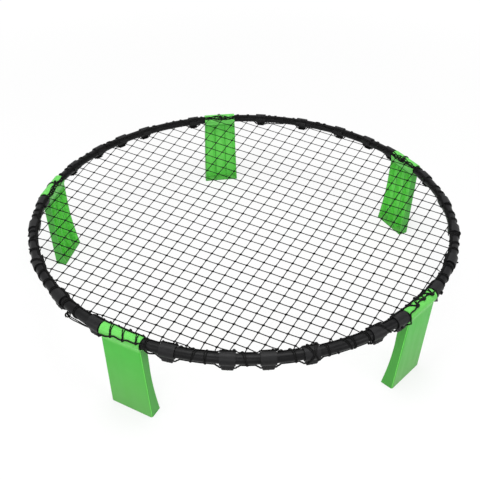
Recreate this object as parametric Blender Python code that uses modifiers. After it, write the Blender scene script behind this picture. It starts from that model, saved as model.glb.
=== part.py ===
"""Roundnet set: five moulded legs and five bent tubes make a ring, and a knotted net is stretched over it.

Metres, +Z up, standing on z = 0 with the ring's axis on Z. Each leg ends in a sleeve, the tubes plug into the
sleeves, and a leg turns about its sleeve to fold in under the net. The net's edge cord loops over the rim and
hangs in the lugs of the hooks that are clipped on the tubes.

Directions about the rim, called turns, are in degrees outward from straight up.
"""

import math

import bmesh
import bpy
from mathutils import Matrix, Vector

# Ring
LEG_COUNT = 5
RING_RADIUS = 0.450  # centre line of the rim tubes
RIM_HEIGHT = 0.186  # centre line of the rim tubes above the floor
FIRST_LEG_ANGLE = 26.8  # degrees about Z, from +X
SECTION_ANGLE = 360 / LEG_COUNT

# Rim tubes
TUBE_RADIUS = 0.0093
TUBE_WALL = 0.0015
TUBE_END_GAP = 0.0012  # from a tube's end to the stop inside the sleeve
TUBE_STEPS = 15
TUBE_SIDES = 12

# Leg: a sleeve over an open-backed shell. Its x is radial and its z is up, both from the sleeve's axis.
SLEEVE_LENGTH = 0.082
SLEEVE_WALL = 0.0018
SLEEVE_SIDES = 20
SLEEVE_STOP = 0.0024  # web across the middle of the sleeve's bore
TURNING_GAP = 0.0003  # least clearance of the bent tube in the straight bore
LEG_TOP_WIDTH = 0.082
LEG_FOOT_WIDTH = 0.092
LEG_OUTER_TOP = 0.0095  # outer face, outward of the sleeve's axis
LEG_OUTER_FOOT = 0.0060
LEG_INNER_TOP = 0.0100  # inner edge of the side walls, inward of the sleeve's axis
LEG_INNER_WAIST = 0.0090
LEG_INNER_FOOT = 0.0195
LEG_WAIST_DEPTH = 0.075  # from the sleeve's axis down to where the inner edge starts to flare
LEG_FLARE_POWER = 1.7
LEG_START_DEPTH = 0.0036  # from the sleeve's axis down to the shell's top, within the bore
LEG_CORNER_RADIUS = 0.0040  # of the two upright outer corners
LEG_CORNER_STEPS = 3
LEG_FLAT_ANGLE = 0.2  # degrees, up to which faces side by side become one
LEG_WALL = 0.0026
LEG_OUTLINE_STEPS = 6  # of the curved inner edge
LEG_RIB = 0.0022
LEG_RIB_COUNT = 2
LEG_RIB_SETBACK = 0.0030  # ribs end this far inside the side walls' inner edge
CUT_PAST = 0.006  # cutters reach this far outside the leg

# Hooks: a band clipped over the tube, with a lug below that holds the edge cord
HOOK_LENGTH = 0.027
HOOK_WALL = 0.0020
HOOK_GAP = 0.0003
HOOK_MOUTH = (194.0, 250.0)  # turns between which the band is open
HOOK_SIDES = 16  # facets of a full turn of the band
LUG_LENGTH = 0.025
LUG_WALL = 0.0022
LUG_REACH = 0.0045  # from just below the band down to the cord's seat
LUG_LIP = 250.0  # turn about the cord at which the lug's lip ends
LUG_STEPS = 4
LUG_TAPER = 0.55  # its length at the bottom, as a share of its length at the band
HOOK_SLEEVE_GAP = 0.0010  # least gap between a band and a sleeve's end
HOOK_SHARES = (  # each section's hooks, from 0 close to one sleeve to 1 close to the next
    (0.003, 0.169, 0.367, 0.612, 0.869),
    (0.036, 0.352, 0.512, 0.682, 0.892),
    (0.012, 0.212, 0.507, 0.768, 1.000),
    (0.068, 0.291, 0.439, 0.599, 0.878, 1.000),
    (0.003, 0.221, 0.460, 0.698, 0.948),
)

# Net: nearly square meshes, drawn tighter on the side opposite NET_DRAW_ANGLE
NET_PITCHES = (0.0579, 0.0561)  # along each set of strands, two meshes of the real net
NET_ANGLES = (-30.5, 67.0)  # degrees about Z, of each set of strands
NET_DRAW = 0.42  # per metre
NET_DRAW_ANGLE = 91.2  # degrees about Z, where the meshes are widest
NET_KNOT = (-0.0065, -0.2017)  # a knot, before the net is drawn
NET_STRAND = 0.0024
NET_LEAST_STRAND = 0.0096  # knots nearer to each other than this become one
NET_BORDER_SIDES = 80
NET_HOOP_GAP = 0.0008  # from the net's border strand to the bands of the hooks

# Edge cord, with one loop over the rim for every second mesh
CORD_RADIUS = 0.0014
CORD_GAP = 0.0004
CORD_STEP = 4.8  # degrees, at most, between points of its route
CORD_TURN_STEP = 31.0  # degrees about the rim, at most, between the same points
CORD_REST_TURN = 108.0  # where the cord lies against a tube
CORD_SLEEVE_TURN = 114.0  # the same on a sleeve, above the leg's outer face
CORD_LUG_TURN = 168.0  # the same in a hook's lug
CORD_LEAVE = 0.0034  # from a band's end to where the cord is halfway up
CORD_RISE = 0.0180  # from a band's end to where the cord is at rest
LOOP_PITCH = 7.2  # degrees
LOOP_STRAND_RADIUS = 0.0011
LOOP_STEPS = 4
LOOP_TILT = 27.0  # degrees, which keeps the strands' edges off those of the cord

# Sizes that follow from those above
SLEEVE_HALF_ANGLE = math.degrees(math.asin(SLEEVE_LENGTH / 2 / RING_RADIUS))
SLEEVE_BEND = RING_RADIUS * (1 - math.cos(math.radians(SLEEVE_HALF_ANGLE)))  # of the ring within a sleeve
AXIS_RADIUS = RING_RADIUS - SLEEVE_BEND / 2  # of the sleeves' straight axes
BORE_RADIUS = (TUBE_RADIUS + SLEEVE_BEND / 2 + TURNING_GAP) / math.cos(math.pi / SLEEVE_SIDES)
SLEEVE_RADIUS = BORE_RADIUS + SLEEVE_WALL
HOOK_HALF_ANGLE = math.degrees(HOOK_LENGTH / 2 / RING_RADIUS)
HOOK_BEND = RING_RADIUS * (1 - math.cos(math.radians(HOOK_HALF_ANGLE)))
TUBE_BEND = RING_RADIUS * (1 - math.cos(math.radians(SECTION_ANGLE / TUBE_STEPS / 2)))
HOOK_BORE = (TUBE_RADIUS + max(HOOK_BEND, TUBE_BEND) + HOOK_GAP) / math.cos(math.pi / HOOK_SIDES)
HOOK_RADIUS = HOOK_BORE + HOOK_WALL
HOOK_INSIDE = RING_RADIUS - HOOK_RADIUS  # the bands' side nearest to the ring's axis
FIRST_HOOK_ANGLE = math.degrees(  # from a leg's middle to a hook close to its sleeve
    math.atan2(HOOK_LENGTH / 2, HOOK_INSIDE)
    + math.asin((SLEEVE_LENGTH / 2 + HOOK_SLEEVE_GAP) / math.hypot(HOOK_INSIDE, HOOK_LENGTH / 2))
)
CORD_LUG_DISTANCE = HOOK_RADIUS + CORD_GAP + CORD_RADIUS + LUG_REACH
NET_HOOP_RADIUS = HOOK_INSIDE - NET_HOOP_GAP - NET_STRAND
NET_HEIGHT = RIM_HEIGHT + TUBE_RADIUS + NET_STRAND / 2


def leg_angle(index):
    return math.radians(FIRST_LEG_ANGLE + index * SECTION_ANGLE)


def rim_point(degrees, turn, distance):
    """The point this far from the tubes' centre line, at an angle along the ring and a turn about it."""
    angle = math.radians(degrees)
    radius = RING_RADIUS + distance * math.sin(math.radians(turn))
    height = RIM_HEIGHT + distance * math.cos(math.radians(turn))
    return Vector((radius * math.cos(angle), radius * math.sin(angle), height))


def clear_scene():
    for obj in list(bpy.data.objects):
        bpy.data.objects.remove(obj, do_unlink=True)


def new_collection(name):
    collection = bpy.data.collections.new(name)
    bpy.context.scene.collection.children.link(collection)
    return collection


def new_material(name, colour, roughness):
    material = bpy.data.materials.new(name)
    material.use_nodes = True
    shader = material.node_tree.nodes["Principled BSDF"]
    shader.inputs["Base Color"].default_value = (*colour, 1.0)
    shader.inputs["Roughness"].default_value = roughness
    return material


def add_object(name, data, collection, material=None):
    obj = bpy.data.objects.new(name, data)
    collection.objects.link(obj)
    if material:
        data.materials.clear()
        data.materials.append(material)
    return obj


def add_helper(name, data):
    """An object that only shapes others: it is out of the render and drawn as wires."""
    obj = add_object(name, data, cutters)
    obj.hide_render = True
    obj.display_type = "WIRE"
    return obj


def mesh_from(name, build):
    """A mesh made by build(bm)."""
    mesh = bpy.data.meshes.new(name)
    bm = bmesh.new()
    build(bm)
    bmesh.ops.recalc_face_normals(bm, faces=bm.faces)
    bm.to_mesh(mesh)
    bm.free()
    return mesh


def taken_mesh(obj, name, weld=0.00001):
    """The object's shape with its modifiers, in world space, its caps welded; the object is removed."""
    graph = bpy.context.evaluated_depsgraph_get()
    mesh = bpy.data.meshes.new_from_object(obj.evaluated_get(graph))
    mesh.transform(obj.matrix_world)
    mesh.name = name
    bpy.data.objects.remove(obj, do_unlink=True)
    bm = bmesh.new()
    bm.from_mesh(mesh)
    bmesh.ops.remove_doubles(bm, verts=bm.verts, dist=weld)
    bmesh.ops.recalc_face_normals(bm, faces=bm.faces)
    bm.to_mesh(mesh)
    bm.free()
    return mesh


def shade_round(mesh, degrees=40):
    mesh.shade_smooth()
    mesh.set_sharp_from_angle(angle=math.radians(degrees))


def add_boolean(obj, other, operation):
    modifier = obj.modifiers.new(operation.lower() + "_" + other.name, "BOOLEAN")
    modifier.operation = operation
    modifier.object = other
    modifier.solver = "EXACT"


def outline_solid(name, points, thickness):
    """A mesh with this outline, given as points (x, z), and this thickness along y."""
    curve = bpy.data.curves.new(name, "CURVE")
    curve.dimensions = "2D"
    curve.fill_mode = "BOTH"
    curve.extrude = thickness / 2
    spline = curve.splines.new("POLY")
    spline.points.add(len(points) - 1)
    for target, (x, z) in zip(spline.points, points):
        target.co = (x, z, 0, 1)
    spline.use_cyclic_u = True
    obj = add_helper(name + "_outline", curve)
    obj.matrix_world = Matrix.Rotation(math.radians(90), 4, "X")
    bpy.context.view_layer.update()
    return taken_mesh(obj, name)


def tube_solid(name, routes, cyclic, radius, resolution, tilt=0.0):
    """A mesh of bars along these lists of points, in triangles, its facets turned by tilt about the route."""
    curve = bpy.data.curves.new(name, "CURVE")
    curve.dimensions = "3D"
    curve.bevel_depth = radius
    curve.bevel_resolution = resolution
    curve.use_fill_caps = True
    for points in routes:
        spline = curve.splines.new("POLY")
        spline.points.add(len(points) - 1)
        for target, point in zip(spline.points, points):
            target.co = (*point, 1)
            target.tilt = tilt
        spline.use_cyclic_u = cyclic
    mesh = taken_mesh(add_helper(name + "_route", curve), name)
    bm = bmesh.new()
    bm.from_mesh(mesh)
    bmesh.ops.triangulate(bm, faces=bm.faces)
    bm.to_mesh(mesh)
    bm.free()
    return mesh


def cylinder_along_y(name, radius, y_low, y_high):
    turned = Matrix.Translation((0, (y_low + y_high) / 2, 0)) @ Matrix.Rotation(math.radians(90), 4, "X")

    def build(bm):
        bmesh.ops.create_cone(
            bm,
            cap_ends=True,
            segments=SLEEVE_SIDES,
            radius1=radius,
            radius2=radius,
            depth=y_high - y_low,
            matrix=turned @ Matrix.Rotation(math.pi / SLEEVE_SIDES, 4, "Z"),
        )

    return mesh_from(name, build)


# Rim tubes


def make_rim_tube(index, material):
    """A hollow tube bent to the ring, from inside one leg's sleeve to inside the next's."""
    end_angle = (SLEEVE_STOP / 2 + TUBE_END_GAP) / RING_RADIUS
    start = leg_angle(index) + end_angle

    def build(bm):
        section = [
            bm.verts.new((RING_RADIUS + TUBE_RADIUS * math.sin(turn), 0, TUBE_RADIUS * math.cos(turn)))
            for turn in (2 * math.pi * (side + 0.5) / TUBE_SIDES for side in range(TUBE_SIDES))
        ]
        for first, second in zip(section, section[1:] + section[:1]):
            bm.edges.new((first, second))

    obj = add_object(f"rim_tube_{index + 1}", mesh_from("rim_tube", build), roundnet, material)
    obj.location = (0, 0, RIM_HEIGHT)
    obj.rotation_euler = (0, 0, start)
    bend = obj.modifiers.new("bend", "SCREW")
    bend.angle = leg_angle(index + 1) - end_angle - start
    bend.steps = bend.render_steps = TUBE_STEPS
    bend.axis = "Z"
    bend.use_normal_calculate = True
    wall = obj.modifiers.new("wall", "SOLIDIFY")
    wall.thickness = TUBE_WALL
    wall.offset = -1


# Legs


def leg_inner_edge(depth):
    """How far inward of the sleeve's axis the side walls reach, at this depth below it."""
    if depth <= LEG_WAIST_DEPTH:
        share = depth / LEG_WAIST_DEPTH
        return LEG_INNER_TOP + (LEG_INNER_WAIST - LEG_INNER_TOP) * share
    share = (depth - LEG_WAIST_DEPTH) / (RIM_HEIGHT - LEG_WAIST_DEPTH)
    return LEG_INNER_WAIST + (LEG_INNER_FOOT - LEG_INNER_WAIST) * share**LEG_FLARE_POWER


def leg_outer_face(depth):
    return LEG_OUTER_TOP + (LEG_OUTER_FOOT - LEG_OUTER_TOP) * depth / RIM_HEIGHT


def leg_edge_line(top, bottom, inset):
    """Points (x, z) down a line this far outward of the side walls' inner edge."""
    steps = range(LEG_OUTLINE_STEPS + 1)
    depths = [top + (bottom - top) * step / LEG_OUTLINE_STEPS for step in steps]
    return [(inset - leg_inner_edge(depth), -depth) for depth in depths]


def leg_width(depth):
    return LEG_TOP_WIDTH + (LEG_FOOT_WIDTH - LEG_TOP_WIDTH) * depth / RIM_HEIGHT


def flare(mesh):
    """Scales a mesh made for the foot's width along y to the leg's width at each height."""
    for vertex in mesh.vertices:
        vertex.co.y *= leg_width(-vertex.co.z) / LEG_FOOT_WIDTH


def leg_section(depth):
    """Points (x, y) round the leg at this depth, with its two outer corners rounded."""
    centre_x = leg_outer_face(depth) - LEG_CORNER_RADIUS
    centre_y = leg_width(depth) / 2 - LEG_CORNER_RADIUS
    side = [(-leg_inner_edge(depth), leg_width(depth) / 2)]
    for step in range(LEG_CORNER_STEPS + 1):
        turn = math.pi / 2 * step / LEG_CORNER_STEPS
        x = centre_x + LEG_CORNER_RADIUS * math.sin(turn)
        side.append((x, centre_y + LEG_CORNER_RADIUS * math.cos(turn)))
    return side + [(x, -y) for x, y in reversed(side)]


def leg_shell_mesh():
    """The leg's body before it is hollowed."""
    steps = range(LEG_OUTLINE_STEPS + 1)
    depths = [LEG_START_DEPTH + (RIM_HEIGHT - LEG_START_DEPTH) * step / LEG_OUTLINE_STEPS for step in steps]

    def build(bm):
        rings = [[bm.verts.new((x, y, -depth)) for x, y in leg_section(depth)] for depth in depths]
        for upper, lower in zip(rings, rings[1:]):
            for order in range(len(upper)):
                bm.faces.new((upper[order - 1], upper[order], lower[order], lower[order - 1]))
        bm.faces.new(rings[0])
        bm.faces.new(rings[-1])
        bmesh.ops.recalc_face_normals(bm, faces=bm.faces)
        bmesh.ops.dissolve_limit(bm, angle_limit=math.radians(LEG_FLAT_ANGLE), verts=bm.verts, edges=bm.edges)

    return mesh_from("leg_shell", build)


def leg_bays_mesh():
    """The bays between the side walls and the ribs, open toward the ring's centre."""
    top, bottom = SLEEVE_RADIUS + LEG_WALL, RIM_HEIGHT - LEG_WALL
    profile = leg_edge_line(top, bottom, -CUT_PAST)
    profile += [(leg_outer_face(depth) - LEG_WALL, -depth) for depth in (bottom, top)]
    bay_count = LEG_RIB_COUNT + 1
    bay_width = (LEG_FOOT_WIDTH - 2 * LEG_WALL - LEG_RIB_COUNT * LEG_RIB) / bay_count
    bays = bmesh.new()
    for bay in range(bay_count):
        solid = outline_solid("leg_bay", profile, bay_width)
        offset = (bay - (bay_count - 1) / 2) * (bay_width + LEG_RIB)
        solid.transform(Matrix.Translation((0, offset, 0)))
        bays.from_mesh(solid)
    mesh = bpy.data.meshes.new("leg_bays")
    bays.to_mesh(mesh)
    bays.free()
    flare(mesh)
    return mesh


def leg_rib_setback_mesh():
    """What is cut from the ribs' inner edges: it ends within the outermost bays, clear of their ends."""
    top = SLEEVE_RADIUS + LEG_WALL + LEG_RIB / 2
    bottom = RIM_HEIGHT - LEG_WALL - LEG_RIB / 2
    outline = leg_edge_line(top, bottom, -2 * CUT_PAST) + leg_edge_line(top, bottom, LEG_RIB_SETBACK)[::-1]
    mesh = outline_solid("leg_rib_setback", outline, LEG_FOOT_WIDTH * LEG_RIB_COUNT / (LEG_RIB_COUNT + 1))
    flare(mesh)
    return mesh


def leg_mesh():
    """The whole leg about its sleeve's axis: shell, sleeve, ribbed back and bores."""
    half = SLEEVE_LENGTH / 2
    stop = SLEEVE_STOP / 2
    leg = add_helper("leg_body", leg_shell_mesh())
    steps = [
        (cylinder_along_y("leg_sleeve", SLEEVE_RADIUS, -half, half), "UNION"),
        (leg_bays_mesh(), "DIFFERENCE"),
        (leg_rib_setback_mesh(), "DIFFERENCE"),
        (cylinder_along_y("leg_bore_low", BORE_RADIUS, -half - CUT_PAST, -stop), "DIFFERENCE"),
        (cylinder_along_y("leg_bore_high", BORE_RADIUS, stop, half + CUT_PAST), "DIFFERENCE"),
    ]
    helpers = [add_helper(mesh.name, mesh) for mesh, _ in steps]
    for helper, (_, operation) in zip(helpers, steps):
        add_boolean(leg, helper, operation)
    mesh = taken_mesh(leg, "leg")
    for helper in helpers:
        bpy.data.objects.remove(helper, do_unlink=True)
    shade_round(mesh)
    return mesh


def make_leg(index, mesh, material):
    angle = leg_angle(index)
    leg = add_object(f"leg_{index + 1}", mesh, roundnet, material)
    leg.location = (AXIS_RADIUS * math.cos(angle), AXIS_RADIUS * math.sin(angle), RIM_HEIGHT)
    leg.rotation_euler = (0, 0, angle)


# Hooks


def arc_points(centre, radius, start, end, steps):
    """Points (x, z) on a circle between two turns."""
    turns = [math.radians(start + (end - start) * step / steps) for step in range(steps + 1)]
    return [(centre[0] + radius * math.sin(turn), centre[1] + radius * math.cos(turn)) for turn in turns]


def hook_mesh():
    """The band and its lug, about the tube's centre, with x outward."""
    end, start = HOOK_MOUTH[0], HOOK_MOUTH[1] - 360
    steps = round(HOOK_SIDES * (end - start) / 360)
    outside = arc_points((0, 0), HOOK_RADIUS, start, end, steps)
    bore = arc_points((0, 0), HOOK_BORE, end, start, steps)
    band = add_helper("hook_band", outline_solid("hook", outside + bore, HOOK_LENGTH))

    turn = math.radians(CORD_LUG_TURN)
    seat = (CORD_LUG_DISTANCE * math.sin(turn), CORD_LUG_DISTANCE * math.cos(turn))
    inner = CORD_RADIUS + CORD_GAP
    outer = inner + LUG_WALL
    outline = arc_points(seat, outer, 90, LUG_LIP, LUG_STEPS)
    outline += arc_points(seat, inner, LUG_LIP, 90, LUG_STEPS)
    band_middle = (HOOK_BORE + HOOK_RADIUS) / 2
    roots = [(seat[0] + side, -math.sqrt(band_middle**2 - (seat[0] + side) ** 2)) for side in (inner, outer)]
    lug_solid = outline_solid("hook_lug", outline + roots, LUG_LENGTH)
    top = roots[1][1]
    bottom = seat[1] - outer
    for vertex in lug_solid.vertices:
        share = (vertex.co.z - top) / (bottom - top)
        vertex.co.y *= math.sqrt(1 - (1 - LUG_TAPER**2) * share**2)
    lug = add_helper("hook_lug", lug_solid)
    add_boolean(band, lug, "UNION")
    mesh = taken_mesh(band, "hook")
    bpy.data.objects.remove(lug, do_unlink=True)
    shade_round(mesh)
    return mesh


def section_hooks(section):
    """The section's hooks, in degrees on from its first leg."""
    room = SECTION_ANGLE - 2 * FIRST_HOOK_ANGLE
    return [FIRST_HOOK_ANGLE + share * room for share in HOOK_SHARES[section]]


def hook_places():
    """Each hook's name and its angle along the ring, in degrees."""
    places = []
    for section in range(LEG_COUNT):
        for order, angle in enumerate(section_hooks(section), start=1):
            degrees = FIRST_LEG_ANGLE + section * SECTION_ANGLE + angle
            places.append((f"hook_{section + 1}_{order}", degrees))
    return places


def make_hook(name, degrees, mesh, material):
    hook = add_object(name, mesh, roundnet, material)
    hook.location = rim_point(degrees, 0, 0)
    hook.rotation_euler = (0, 0, math.radians(degrees))


# Net


def drawn(x, y):
    """Where a point of the even net lies once the net is drawn tighter on one side."""
    away = math.radians(NET_DRAW_ANGLE)
    share = 1 - NET_DRAW * (x * math.cos(away) + y * math.sin(away))
    return x / share, y / share


def make_net(material):
    """Meshes inside a border strand: a grid of faces, of which only the edges are kept as strands."""
    reach = math.ceil(2 * RING_RADIUS / min(NET_PITCHES))
    turns = [math.radians(angle) for angle in NET_ANGLES]
    steps = [Vector((math.cos(turn), math.sin(turn))) * pitch for turn, pitch in zip(turns, NET_PITCHES)]

    def knot(column, row):
        return Vector((*drawn(*(Vector(NET_KNOT) + steps[0] * column + steps[1] * row)), 0))

    def build(bm):
        span = range(-reach, reach + 1)
        corners = {(column, row): bm.verts.new(knot(column, row)) for column in span for row in span}
        for column in span[:-1]:
            for row in span[:-1]:
                cell = [(column, row), (column + 1, row), (column + 1, row + 1), (column, row + 1)]
                bm.faces.new([corners[key] for key in cell])
        far = [face for face in bm.faces if all(v.co.length > RING_RADIUS for v in face.verts)]
        bmesh.ops.delete(bm, geom=far, context="FACES")
        for side in range(NET_BORDER_SIDES):
            angle = 2 * math.pi * side / NET_BORDER_SIDES
            outward = Vector((math.cos(angle), math.sin(angle), 0))
            bmesh.ops.bisect_plane(
                bm,
                geom=bm.verts[:] + bm.edges[:] + bm.faces[:],
                plane_co=outward * NET_HOOP_RADIUS,
                plane_no=outward,
                clear_outer=True,
            )
        bmesh.ops.remove_doubles(bm, verts=bm.verts, dist=NET_LEAST_STRAND)

    net = add_object("net", mesh_from("net", build), roundnet, material)
    net.location = (0, 0, NET_HEIGHT)
    strands = net.modifiers.new("strands", "WIREFRAME")
    strands.thickness = NET_STRAND
    strands.use_boundary = True
    strands.use_replace = True
    strands.use_even_offset = True


# Edge cord


def cord_stations():
    """(angle, turn, distance) where the cord's place is set: on each sleeve, in each lug and between them."""
    on_sleeve = (CORD_SLEEVE_TURN, SLEEVE_RADIUS + SLEEVE_BEND / 2 + CORD_GAP + CORD_RADIUS)
    on_tube = (CORD_REST_TURN, TUBE_RADIUS + TUBE_BEND + CORD_GAP + CORD_RADIUS)
    in_lug = (CORD_LUG_TURN, CORD_LUG_DISTANCE)
    rising = ((CORD_LUG_TURN + CORD_REST_TURN) / 2, (CORD_LUG_DISTANCE + on_tube[1]) / 2)
    lug_half = math.degrees(LUG_LENGTH / 2 / RING_RADIUS)
    sleeve_end = SLEEVE_HALF_ANGLE + math.degrees(CORD_RADIUS / RING_RADIUS)
    leaving = HOOK_HALF_ANGLE + math.degrees(CORD_LEAVE / RING_RADIUS)
    risen = HOOK_HALF_ANGLE + math.degrees(CORD_RISE / RING_RADIUS)
    stations = []
    for section in range(LEG_COUNT):
        start = FIRST_LEG_ANGLE + section * SECTION_ANGLE
        angles = section_hooks(section)
        stations += [(start - sleeve_end, *on_sleeve), (start + sleeve_end, *on_sleeve)]
        ends = [sleeve_end, *angles, SECTION_ANGLE - sleeve_end]
        for order, angle in enumerate(angles, start=1):
            stations += [(start + angle - lug_half, *in_lug), (start + angle + lug_half, *in_lug)]
            for side, neighbour in ((-1, ends[order - 1]), (1, ends[order + 1])):
                room = abs(neighbour - angle) / (2 if neighbour in angles else 1)
                if room > risen:
                    stations.append((start + angle + side * leaving, *rising))
                    stations.append((start + angle + side * risen, *on_tube))
    return sorted(stations)


def cord_place(stations, degrees):
    """The cord's (turn, distance) at this angle, eased between the stations on either side."""
    first = stations[0]
    degrees = first[0] + (degrees - first[0]) % 360
    closed = stations + [(first[0] + 360, *first[1:])]
    low, high = next(pair for pair in zip(closed, closed[1:]) if degrees <= pair[1][0])
    share = (degrees - low[0]) / (high[0] - low[0])
    eased = share * share * (3 - 2 * share)
    return [low[item] + (high[item] - low[item]) * eased for item in (1, 2)]


def cord_route(stations):
    points = []
    first = stations[0]
    for low, high in zip(stations, stations[1:] + [(first[0] + 360, *first[1:])]):
        length = high[0] - low[0]
        steps = max(math.ceil(length / CORD_STEP), math.ceil(abs(high[1] - low[1]) / CORD_TURN_STEP))
        for step in range(steps):
            degrees = low[0] + length * step / steps
            points.append(rim_point(degrees, *cord_place(stations, degrees)))
    return points


def loop_route(stations, degrees):
    """From beside the net's border strand over the rim to the cord."""
    from_leg = abs((degrees - FIRST_LEG_ANGLE + SECTION_ANGLE / 2) % SECTION_ANGLE - SECTION_ANGLE / 2)
    under = SLEEVE_RADIUS + SLEEVE_BEND / 2 if from_leg < SLEEVE_HALF_ANGLE else TUBE_RADIUS + TUBE_BEND
    last_turn, last_distance = cord_place(stations, degrees)
    bulge = math.cos(math.radians(last_turn / LOOP_STEPS / 2))
    distance = under / bulge + CORD_GAP + LOOP_STRAND_RADIUS
    start_radius = NET_HOOP_RADIUS + NET_STRAND + CORD_GAP + LOOP_STRAND_RADIUS
    angle = math.radians(degrees)
    start = Vector((start_radius * math.cos(angle), start_radius * math.sin(angle), NET_HEIGHT))
    over = [rim_point(degrees, last_turn * step / LOOP_STEPS, distance) for step in range(LOOP_STEPS)]
    return [start] + over + [rim_point(degrees, last_turn, last_distance)]


def loop_angles():
    """Every LOOP_PITCH from each leg's middle, apart from where a hook's band is in the way."""
    room = HOOK_HALF_ANGLE + math.degrees(2 * LOOP_STRAND_RADIUS / RING_RADIUS)
    count = round(360 / LOOP_PITCH)
    angles = [FIRST_LEG_ANGLE + 360 * order / count for order in range(count)]
    hooks = [degrees for _, degrees in hook_places()]
    return [a for a in angles if all(abs((a - hook + 180) % 360 - 180) > room for hook in hooks)]


def make_edge_cord(material):
    """The cord round the rim and the net's loops, which hang on it, as one body."""
    stations = cord_stations()
    loop_routes = [loop_route(stations, degrees) for degrees in loop_angles()]
    cord = add_helper("cord", tube_solid("cord", [cord_route(stations)], True, CORD_RADIUS, 1))
    over_rim = tube_solid("loops", loop_routes, False, LOOP_STRAND_RADIUS, 0, tilt=math.radians(LOOP_TILT))
    loops = add_helper("loops", over_rim)
    add_boolean(cord, loops, "UNION")
    mesh = taken_mesh(cord, "edge_cord")
    bpy.data.objects.remove(loops, do_unlink=True)
    add_object("edge_cord", mesh, roundnet, material)


clear_scene()
roundnet = new_collection("roundnet_set")
cutters = new_collection("cutters")

green = new_material("leg_green", (0.115, 0.50, 0.075), 0.42)
black_tube = new_material("rim_black", (0.012, 0.012, 0.013), 0.38)
black_hook = new_material("hook_black", (0.020, 0.020, 0.021), 0.45)
black_net = new_material("net_black", (0.010, 0.010, 0.010), 0.80)

leg_shape = leg_mesh()
hook_shape = hook_mesh()
for leg_index in range(LEG_COUNT):
    make_leg(leg_index, leg_shape, green)
    make_rim_tube(leg_index, black_tube)
for hook_name, hook_degrees in hook_places():
    make_hook(hook_name, hook_degrees, hook_shape, black_hook)
make_net(black_net)
make_edge_cord(black_net)
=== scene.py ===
"""Roundnet set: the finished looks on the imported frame. Metres, +Z up.

Turns are directions about the rim, in degrees outward from straight up. Places along
the ring are in degrees about Z, from +X.
"""

import math
import random

import bmesh
import bpy
from mathutils import Matrix, Vector


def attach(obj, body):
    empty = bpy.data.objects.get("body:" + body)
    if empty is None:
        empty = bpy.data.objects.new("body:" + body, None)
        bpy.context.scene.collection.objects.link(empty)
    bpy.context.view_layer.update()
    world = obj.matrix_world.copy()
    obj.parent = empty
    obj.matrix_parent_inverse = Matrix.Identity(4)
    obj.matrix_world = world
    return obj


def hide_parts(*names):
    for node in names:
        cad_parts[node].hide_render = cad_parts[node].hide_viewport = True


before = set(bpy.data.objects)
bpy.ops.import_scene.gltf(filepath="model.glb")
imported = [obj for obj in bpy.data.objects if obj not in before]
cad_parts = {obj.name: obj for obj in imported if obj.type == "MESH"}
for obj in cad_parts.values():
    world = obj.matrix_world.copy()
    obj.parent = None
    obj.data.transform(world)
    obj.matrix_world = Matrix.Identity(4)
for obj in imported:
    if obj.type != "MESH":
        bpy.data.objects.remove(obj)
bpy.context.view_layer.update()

# Camera
CAMERA_PLACE = Vector((0, -1.1418, 0.9419))
CAMERA_AIM = Vector((-0.0072, -0.1238, 0.186))
CAMERA_LENS = 46.19  # millimetres
CAMERA_SENSOR = 36

camera_data = bpy.data.cameras.new("camera")
camera_data.lens = CAMERA_LENS
camera_data.sensor_width = CAMERA_SENSOR
camera = bpy.data.objects.new("camera", camera_data)
camera.location = CAMERA_PLACE
camera.rotation_euler = (CAMERA_AIM - CAMERA_PLACE).to_track_quat("-Z", "Y").to_euler()
bpy.context.scene.collection.objects.link(camera)
bpy.context.scene.camera = camera

# Sizes of the source
LEG_COUNT = 5
RING_RADIUS = 0.450  # centre line of the rim tubes
RIM_HEIGHT = 0.186  # centre line of the rim tubes above the floor
FIRST_LEG_ANGLE = 26.8  # of its middle, along the ring
SECTION_ANGLE = 360 / LEG_COUNT
TUBE_RADIUS = 0.0093
TUBE_WALL = 0.0015
TUBE_END_GAP = 0.0012  # from a tube's end to the stop inside the sleeve
SLEEVE_LENGTH = 0.082
SLEEVE_WALL = 0.0018
SLEEVE_STOP = 0.0024  # web across the middle of the sleeve's bore
TURNING_GAP = 0.0003  # least clearance of the bent tube in the straight bore
BORE_ROUNDING = 0.0001  # nearly what the facets of the source's bore add to its radius
LEG_TOP_WIDTH = 0.082
LEG_FOOT_WIDTH = 0.092
LEG_OUTER_TOP = 0.0095  # outer face, outward of the sleeve's axis
LEG_OUTER_FOOT = 0.0060
LEG_INNER_TOP = 0.0100  # inner edge of the side walls, inward of the sleeve's axis
LEG_INNER_WAIST = 0.0090
LEG_INNER_FOOT = 0.0195
LEG_WAIST_DEPTH = 0.075  # from the sleeve's axis down to where the inner edge starts to flare
LEG_FLARE_POWER = 1.7
LEG_START_DEPTH = 0.0036  # from the sleeve's axis down to the shell's top, within the bore
LEG_CORNER_RADIUS = 0.0040  # of the two upright outer corners
LEG_WALL = 0.0026
LEG_RIB = 0.0022
LEG_RIB_COUNT = 2
LEG_RIB_SETBACK = 0.0030  # ribs end this far inside the side walls' inner edge
CUT_PAST = 0.006  # cutters reach this far outside the leg
HOOK_LENGTH = 0.027
HOOK_WALL = 0.0020
HOOK_CLEARANCE = 0.0009  # between a tube and the band round it
HOOK_MOUTH = (194.0, 250.0)  # turns between which the band is open
LUG_LENGTH = 0.025
LUG_WALL = 0.0022
LUG_REACH = 0.0045  # from just below the band down to the cord's seat
LUG_LIP = 250.0  # turn about the cord at which the lug's lip ends
LUG_TAPER = 0.55  # its length at the bottom, as a share of its length at the band
HOOK_SLEEVE_GAP = 0.0010  # least gap between a band and a sleeve's end
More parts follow.
